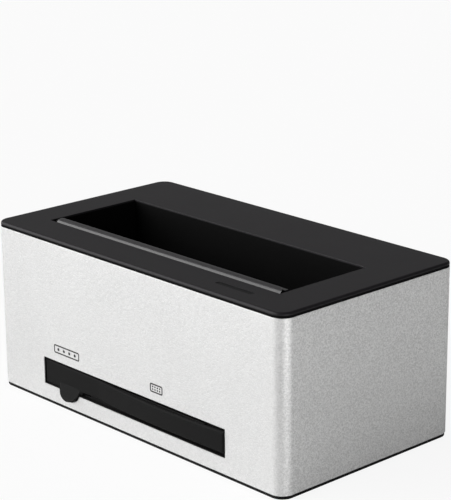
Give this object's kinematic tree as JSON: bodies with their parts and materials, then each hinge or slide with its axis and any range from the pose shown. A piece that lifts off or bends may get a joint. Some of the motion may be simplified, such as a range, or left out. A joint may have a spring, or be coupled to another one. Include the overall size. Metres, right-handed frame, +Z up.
{
  "type": "hard drive docking station",
  "caption": "Desktop docking station: an aluminium sleeve with a black top frame, a sprung flap over the drive slot and ports behind a rubber cover.",
  "frame": {"origin": "on the ground under the middle of the sleeve", "axes": "+X to the right seen from the front, +Y to the back, +Z up"},
  "size_m": [0.192, 0.1066, 0.0827],
  "materials": {
    "sleeve_metal": "satin, fine blasted grain",
    "frame_plastic": "satin moulded texture",
    "well_plastic": "matte moulded",
    "flap_plastic": "semi-gloss moulded",
    "cover_rubber": "matte",
    "steel": "zinc plated",
    "guide_smoke": "smoked clear",
    "lamp_white": "translucent",
    "board_green": "solder mask",
    "connector_black": "moulded",
    "contact_gold": "plated",
    "nylon_white": "moulded",
    "shell_nickel": "nickel plated",
    "chip_epoxy": "moulded",
    "capacitor_sleeve": "shrink sleeve",
    "ferrite": "matte"
  },
  "bodies": {
    "housing": {"sleeve": "sleeve_metal", "top_frame": "frame_plastic", "drive_well": "well_plastic", "flap_pin": "steel", "flap_spring": "steel", "light_guide": "guide_smoke", "indicator_lamps": "lamp_white", "indicator_board": "board_green", "base_plate": "frame_plastic", "rubber_feet": "cover_rubber", "base_screws": "steel", "frame_screws": "steel", "main_board": "board_green", "board_screws": "steel", "drive_board": "board_green", "drive_board_screws": "steel", "drive_receptacle": "connector_black", "drive_contacts": "contact_gold", "riser_board": "board_green", "riser_headers": "connector_black", "box_header": "connector_black", "header_pins": "contact_gold", "power_outlet": "nylon_white", "outlet_pins": "contact_gold", "port_bezel": "well_plastic", "rear_panel": "frame_plastic", "power_inlet": "connector_black", "inlet_pin": "shell_nickel", "data_socket": "shell_nickel", "socket_tongue": "nylon_white", "socket_contacts": "contact_gold", "switch_body": "connector_black", "bridge_chip": "chip_epoxy", "memory_chip": "chip_epoxy", "crystal": "shell_nickel", "capacitors": "capacitor_sleeve", "coils": "ferrite", "regulator": "chip_epoxy"},
    "flap": {"slot_flap": "flap_plastic"},
    "cover": {"port_cover": "cover_rubber"},
    "rocker": {"switch_rocker": "frame_plastic"}
  },
  "joints": [
    {"name": "flap_hinge", "type": "hinge", "parent": "housing", "child": "flap", "pos_m": [-0.0009, -0.03065, 0.0795], "axis": [1, 0, 0], "range_deg": [0, 90], "stiffness_Nm_per_rad": 0.006, "springref_deg": 148.97, "deforming": ["flap_spring"]},
    {"name": "cover_pull", "type": "slide", "parent": "housing", "child": "cover", "axis": [0, -1, 0], "range_m": [0, 0.04]},
    {"name": "rocker_tilt", "type": "hinge", "parent": "housing", "child": "rocker", "pos_m": [-0.023, 0.04915, 0.0168], "axis": [0, 0, -1], "range_deg": [0, 14]}
  ]
}
